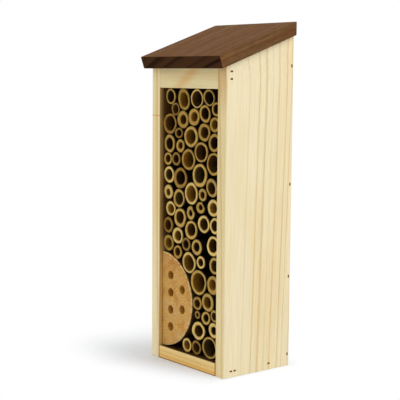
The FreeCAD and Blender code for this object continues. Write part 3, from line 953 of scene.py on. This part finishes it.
def end_tree(geometry, finish):
    """Give a tree's geometry its material and its way out."""
    inputs = {"Geometry": geometry, "Material": finish}
    dressed = add_node(geometry.tree, "GeometryNodeSetMaterial", 0, inputs)
    dressed.to(geometry.tree.nodes.new("NodeGroupOutput").inputs["Geometry"])


def cut_canes():
    """The tree that sets a blank at each mark and brings it to its cane's sizes."""
    tree, given = new_geometry_tree("cut_canes", {
        "Cane Blank": "Object", "Eased Rim": "Float", "Unevenness": "Float", "Off Centre": "Float",
        "Saw Slant": "Float", "Set Back": "Float", "Seed": "Int", "Bamboo": "Material"})
    inputs = {"Min": (-1, -1, -1), "Max": (1, 1, 1), "Seed": given["Seed"]}
    chance = add_node(tree, "FunctionNodeRandomValue", "Value", inputs, data_type="FLOAT_VECTOR")
    canes = copies(store(given["Geometry"], "own", chance, "FLOAT_VECTOR"), given["Cane Blank"])
    skin, hollow, ease_out, full, nest, ease_back = (held(tree, name) for name in CANE_SHARES)
    outer, bore = held(tree, "outer"), held(tree, "bore")
    around, own, middle, long_way, dent_way = (
        held(tree, name, "FLOAT_VECTOR") for name in ("around", "own", "middle", "long_way", "dent_way"))

    along = around.dot(long_way)
    shape = (along * along * 2.0 - 1.0) * held(tree, "oval") + 1.0
    waves = (around + own * CANES_APART).cloud(ROUND_WAVES, SMOOTH) - ROUND_LEVEL
    shape = waves * given["Unevenness"] + shape
    shape = shape - around.dot(dent_way).spread(DENT_EDGE, 1.0) * held(tree, "dent")
    radius = (hollow * bore + skin * outer) * shape + ease_out * given["Eased Rim"]

    depth = full * held(tree, "length") + nest * held(tree, "nest_depth") + ease_back * given["Eased Rim"]
    lean = around.dot(own) * given["Saw Slant"] * radius
    pushed = (own.part("Y") * 0.5 + 0.5) * given["Set Back"]
    at_mouth = 1.0 - full - nest
    inputs = {"Y": (lean + pushed) * at_mouth + depth}
    behind = add_node(tree, "ShaderNodeCombineXYZ", 0, inputs)
    aside = own * (1, 0, 1) * ((outer - bore) * given["Off Centre"] * hollow)

    inputs = {
        "Geometry": store(store(canes, "depth", depth), "wall", skin),
        "Position": middle + around * radius + behind + aside,
    }
    end_tree(add_node(tree, "GeometryNodeSetPosition", 0, inputs), given["Bamboo"])
    return tree


def grow(piece, tree, values):
    """Run a geometry tree on a piece with its named inputs, and keep the result as the piece's own mesh."""
    modifier = piece.modifiers.new(tree.name, "NODES")
    modifier.node_group = tree
    for socket in tree.interface.items_tree:
        if socket.in_out == "INPUT" and socket.name in values:
            modifier[socket.identifier] = values[socket.name]
    keep_shape(piece)


def bamboo():
    """Cut bamboo: rims speckled with fibre ends and browned at the edges, painted shade down bores and
    gaps.
    """
    finish, place = new_finish("bamboo")

    def held_there(name, result):
        return add_node(place.tree, "ShaderNodeAttribute", result, attribute_name=name)

    wall, depth = (held_there(name, "Fac") for name in ("wall", "depth"))
    rim, lining, own = (held_there(name, "Vector") for name in ("rim_colour", "lining", "own"))
    rim = wall.shade(rim, *BORE_EDGE)
    rim = wall.shade(rim, *SKIN_EDGE)
    rim = place.cloud(RIM_PATCHES).shade(rim, RIM_SHADES, CLEAR_TONES)
    rim = own.part("Z").shade(rim, *OWN_SHADES)
    inputs = {"Vector": place * FIBRE_END_SHAPE, "Scale": FIBRE_ENDS}
    rim = add_node(place.tree, "ShaderNodeTexVoronoi", "Distance", inputs).shade(rim, *FIBRE_END_SHADES)
    fibre = (place * CANE_FIBRE_SHAPE).cloud(CANE_FIBRES, FINE)
    rim = fibre.shade(rim, CANE_FIBRE_SHADES)
    bore = place.cloud(LINING_FLUFF, FINE).shade(lining, FLUFF_SHADES)
    # painted shade, deeper down the bore
    bore = depth.shade(bore, *BORE_DEPTH_SHADE)
    inside = depth.spread(*BORE_SPAN) * wall.spread(*INNER_HALF)
    # painted shade on the canes' sides, just behind the mouth
    outside = depth.spread(*SKIN_SPAN) * wall.spread(*OUTER_HALF)
    paint = outside.mix(inside.mix(rim, bore), colour(SHADE_BETWEEN_CANES))
    weathered(finish, paint, fibre, fibre, CANE_ROUGH)
    return finish


cane_nodes = sorted(node for node in frame["nodes"] if "cane" in node)
cane_solids = [corners for node in cane_nodes for corners in open_canes(node)]
canes = marked_points("packed_canes", [
    {**cane_measures(corners), **cane_look(cane)} for cane, corners in enumerate(cane_solids, 1)])
blank_cane = cane_blank()
grow(canes, cut_canes(), {
    "Cane Blank": blank_cane, "Eased Rim": EASED_RIM, "Unevenness": UNEVEN_ROUND, "Off Centre": OFF_CENTRE,
    "Saw Slant": SAW_SLANT, "Set Back": SET_BACK, "Seed": CANE_SEED, "Bamboo": bamboo()})
smooth(canes)
fit(canes, "bamboo", *cane_nodes)


# Roof: one thick pine board, stained dark brown, which overhangs the front and sides and is nailed to the
# panels' sloping tops. Its grain follows the slope, so its square front end shows end grain, which has
# drunk the most stain.
ROOF_EARLY = (113, 79, 46)
ROOF_LATE = (122, 88, 53)
ROOF_PITH = (0.185, -0.045, -0.310)
ROOF_RINGS = {"width": 0.0085, "sway": 0.006, "late_from": 0.3}
ROOF_RED = (246, 224, 212)       # tint of the redder streaks and the knot
RED_STREAKS = (170.0, 0.05)
RED_STREAK_TONES = (0.4, 0.65)
ROOF_KNOT = (0.033, 0.012, 0.296)
ROOF_KNOT_RADIUS = 0.006
ROOF_KNOT_SHAPE = (1, 0.6, 1)    # longer up the slope
ROOF_SIDE = (244, 246, 255)      # tint of the sawn sides
ROOF_FIBRE_SHADES = (0.86, 1.1)
VESSELS = (600.0, 0.04)
VESSEL_SHADES = (0.88, 1.08)
STAIN_PATCHES = (420.0, 0.3)
STAIN_SHADES = (0.9, 1.1)
ROOF_END_LIGHT = (70, 43, 22)
ROOF_END_DARK = (36, 19, 6)
ROOF_END_RING = 0.8              # late wood from which the end is darkest
ROOF_RELIEF = 0.4
ROOF_SHINE = 0.02
ROOF_EASED = 0.0008

roof_low, roof_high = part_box("roof_board")
pitch = math.atan(roof_slope)
roof_thickness = (roof_high.z - roof_line(roof_high.y)) * math.cos(pitch)
eaves = roof_high.y - (roof_line(roof_high.y) - roof_low.z) / roof_slope
roof_outline = [
    (eaves, roof_low.z),
    (roof_high.y, roof_line(roof_high.y)),
    (roof_high.y, roof_high.z),
    (eaves - roof_thickness * math.sin(pitch), roof_low.z + roof_thickness * math.cos(pitch)),
]


def stained_pine():
    """Dark stain over pine: faint streaks along the slope, a small red knot, sawn sides and banded ends."""
    finish, place = new_finish("stained_pine")
    trunk = trunk_of(place, ROOF_PITH, (pitch - math.pi / 2, 0.0, 0.0))
    ring = growth_rings(trunk, **ROOF_RINGS)
    fibre = trunk.grain(FIBRES, FINE)
    paint = ring.mix(colour(ROOF_EARLY), colour(ROOF_LATE))
    paint = trunk.grain(RED_STREAKS).spread(*RED_STREAK_TONES).tint(paint, ROOF_RED)
    from_knot = ((place - ROOF_KNOT) * ROOF_KNOT_SHAPE).length()
    paint = from_knot.spread(ROOF_KNOT_RADIUS, 0.0).tint(paint, ROOF_RED)
    for way in (LEFT, RIGHT):
        paint = facing(place, way).tint(paint, ROOF_SIDE)
    paint = fibre.shade(paint, ROOF_FIBRE_SHADES)
    paint = trunk.grain(VESSELS).shade(paint, VESSEL_SHADES, CLEAR_TONES)
    paint = trunk.grain(STAIN_PATCHES, FINE).shade(paint, STAIN_SHADES, CLEAR_TONES)
    bands = ring.spread(0.0, ROOF_END_RING).mix(colour(ROOF_END_LIGHT), colour(ROOF_END_DARK))
    slope = Vector((0, math.cos(pitch), math.sin(pitch)))
    for way in (slope, -slope):
        paint = facing(place, way).mix(paint, bands)
    weathered(finish, paint, fibre, ring * ROOF_RELIEF + fibre, PINE_ROUGH, ROOF_SHINE)
    return finish


roof = sawn_board("roof_timber", stained_pine(), roof_outline, roof_low.x, roof_high.x, ROOF_EASED)
cut_out(roof, slot_cutter)
fit(roof, "stained_roof", "roof_board")


# Brads: headless nails of flat steel wire, shot through the boards and punched just below their surface.
# The bare steel has rusted to a warm brown.
RUST_DARK = (112, 54, 12)
RUST_WARM = (186, 100, 24)
RUST_FLECKS = 1800.0             # to the metre
RUST_ROUGH = (0.5, 0.85)
RUST_BUMP = (0.4, 0.0001)
RUST_SHINE = 0.1
BRAD_EASED = 0.00012             # height over which the head's edges are eased
BRAD_HEAD = (0.86, 0.8)          # width and thickness of its end, as shares of the wire's
BRAD_POINT = 0.003
BRAD_TIP = (1, 0.25)             # width and thickness of the point's end

wires = brad_wires()


def wire_sides(head):
    """The two sides of a wire at its head, the wider first."""
    return sorted([head[1] - head[0], head[2] - head[1]], key=lambda side: side.length, reverse=True)


def brad_blank():
    """One brad, head at the origin, driven upwards, with its wide side across."""
    head, push = wires[0]
    wide, narrow = (side.length for side in wire_sides(head))
    sections = [
        (0, *BRAD_HEAD),
        (BRAD_EASED, 1, 1),
        (push.length - BRAD_POINT, 1, 1),
        (push.length, *BRAD_TIP),
    ]
    corners = ((-1, -1), (1, -1), (1, 1), (-1, 1))
    shape = bmesh.new()
    loops = [[shape.verts.new((x * wide / 2 * broad, y * narrow / 2 * thick, along)) for x, y in corners]
             for along, broad, thick in sections]
    shape.faces.new(loops[0])
    shape.faces.new(loops[-1])
    for first, second in zip(loops, loops[1:]):
        join_loops(shape, first, second)
    bmesh.ops.recalc_face_normals(shape, faces=shape.faces)
    return place_mesh("brad_blank", shape)


def driven_brads():
    """The tree that drives a brad at each mark."""
    tree, given = new_geometry_tree("driven_brads", {"Brad": "Object", "Steel": "Material"})
    drive, wide = (held(tree, name, "FLOAT_VECTOR") for name in ("drive", "wide"))
    inputs = {"Primary Axis": drive, "Secondary Axis": wide}
    turn = add_node(tree, "FunctionNodeAxesToRotation", 0, inputs, primary_axis="Z", secondary_axis="X")
    end_tree(copies(given["Geometry"], given["Brad"], Rotation=turn), given["Steel"])
    return tree


def rusted_steel():
    """Bare steel under flecks of dark and warm rust."""
    finish, place = new_finish("rusted_steel")
    rust = place.cloud(RUST_FLECKS, FINE)
    paint = rust.spread(*CLEAR_TONES).mix(colour(RUST_DARK), colour(RUST_WARM))
    weathered(finish, paint, rust, rust, RUST_ROUGH, RUST_SHINE, RUST_BUMP)
    return finish


brads = marked_points("rusted_brads", [
    {"middle": middle_of(head), "drive": push.normalized(), "wide": wire_sides(head)[0].normalized()}
    for head, push in wires])
blank_brad = brad_blank()
grow(brads, driven_brads(), {"Brad": blank_brad, "Steel": rusted_steel()})
fit(brads, "nail_steel", "brad_nails")
for tool in (blank_cane, blank_brad, slot_cutter, hanger, drill):
    bpy.data.objects.remove(tool)


# Studio: a wide white floor that keeps a soft shadow beside the house and goes to plain white away from it.
# The surround is an even white, and one large soft light stands high on the right.
FLOOR_SIDE = 6.0
FLOOR_WHITE = (0.87, 0.895, 0.935, 1.0)
SHADOW_REACH = 0.115             # the floor goes to plain white this far from the house
FRONT_FADE = 1.7                 # and this many times sooner before its front,
REAR_FADE = 3.0                  # behind it,
RIGHT_FADE = 8.0                 # or beside it on the lit side
LIT_FADE = 0.52                  # share of the way across the house that counts as away from it
PLAIN_WHITE = (1.0, 1.0, 1.0, 1.0)
SURROUND = 0.76
SOFT_LIGHT_FROM = Vector((1.00, 0.45, 1.40))
SOFT_LIGHT_SIDE = 1.2
SOFT_LIGHT_WATTS = 10.4

studio = bpy.context.scene
studio.view_settings.view_transform = "Standard"


def seen_directly(tree):
    """1 for what the camera sees itself, or in a reflection or through glass."""
    camera, glossy, through = (
        add_node(tree, "ShaderNodeLightPath", f"Is {ray} Ray")
        for ray in ("Camera", "Glossy", "Transmission"))
    return reckon("MAXIMUM", reckon("MAXIMUM", camera, glossy), through)


def studio_white():
    """Matt white that fades into a plain white glow away from the house."""
    finish, place = new_finish("studio_white")
    tree = place.tree
    matt = tree.nodes["Principled BSDF"]
    matt.inputs["Base Color"].default_value = FLOOR_WHITE
    matt.inputs["Roughness"].default_value = 1.0
    matt.inputs["Specular IOR Level"].default_value = 0.0
    glow = add_node(tree, "ShaderNodeEmission", 0, {"Color": PLAIN_WHITE, "Strength": 1.0})
    right_rear = (place - (panel_high.x, panel_high.y, 0)) * (RIGHT_FADE, REAR_FADE, 0)
    left_front = ((-panel_high.x, panel_low.y, 0) - place) * (1, FRONT_FADE, 0)
    beyond = reckon("MAXIMUM", reckon("MAXIMUM", right_rear, left_front), (0, 0, 0)).length()
    across = reckon("MAXIMUM", place.part("X") + panel_high.x, 0.0)
    away = across * LIT_FADE + beyond
    share = seen_directly(tree) * away.spread(0.0, SHADOW_REACH)
    inputs = {0: share, 1: Value(tree, matt.outputs[0]), 2: glow}
    add_node(tree, "ShaderNodeMixShader", 0, inputs).to(tree.nodes["Material Output"].inputs["Surface"])
    return finish


def white_floor():
    """The floor, which is no part of the house."""
    shape = bmesh.new()
    bmesh.ops.create_grid(shape, x_segments=1, y_segments=1, size=FLOOR_SIDE / 2)
    piece = place_mesh("studio_floor", shape)
    piece.data.materials.append(studio_white())


def white_surround():
    """A surround that lights the house at a plain level and is seen as white."""
    world = bpy.data.worlds.new("studio_surround")
    world.use_nodes = True
    back = world.node_tree.nodes["Background"]
    back.inputs["Color"].default_value = PLAIN_WHITE
    strength = seen_directly(world.node_tree) * (1.0 - SURROUND) + SURROUND
    strength.to(back.inputs["Strength"])
    studio.world = world


def soft_light():
    """A square lamp, turned to the middle of the house."""
    lamp = bpy.data.lights.new("soft_light", "AREA")
    lamp.shape = "SQUARE"
    lamp.size = SOFT_LIGHT_SIDE
    lamp.energy = SOFT_LIGHT_WATTS
    light = bpy.data.objects.new("soft_light", lamp)
    light.location = SOFT_LIGHT_FROM
    light.rotation_euler = (house_middle - SOFT_LIGHT_FROM).to_track_quat("-Z", "Y").to_euler()
    studio.collection.objects.link(light)


white_floor()
white_surround()
soft_light()


# Camera: a long lens, well round to the right of the front, a little above the middle of the house and
# tilted down to it, with a slight roll.
CAMERA_LENS = 96.91              # millimetres
CAMERA_FRAME = 36.0              # its width in millimetres
CAMERA_ROUND = math.radians(51.14)
CAMERA_ABOVE = math.radians(6.55)
CAMERA_ROLL = math.radians(0.44)
CAMERA_DISTANCE = 0.95414
AIM = Vector((0, 0, 0.131))
AIM_RIGHT = -0.01805
AIM_UP = 0.01361

towards_camera = Vector((
    math.sin(CAMERA_ROUND) * math.cos(CAMERA_ABOVE),
    -math.cos(CAMERA_ROUND) * math.cos(CAMERA_ABOVE),
    math.sin(CAMERA_ABOVE),
))
level_right = Vector((math.cos(CAMERA_ROUND), math.sin(CAMERA_ROUND), 0))
upright = towards_camera.cross(level_right)
picture_right = level_right * math.cos(CAMERA_ROLL) + upright * math.sin(CAMERA_ROLL)
picture_up = upright * math.cos(CAMERA_ROLL) - level_right * math.sin(CAMERA_ROLL)
aim = AIM + picture_right * AIM_RIGHT + picture_up * AIM_UP
lens = bpy.data.cameras.new("studio_camera")
lens.lens = CAMERA_LENS
lens.sensor_width = CAMERA_FRAME
camera = bpy.data.objects.new("studio_camera", lens)
turn = Matrix((picture_right, picture_up, towards_camera)).transposed()
camera.matrix_world = Matrix.LocRotScale(aim + towards_camera * CAMERA_DISTANCE, turn, None)
studio.collection.objects.link(camera)
studio.camera = camera

bpy.context.view_layer.update()
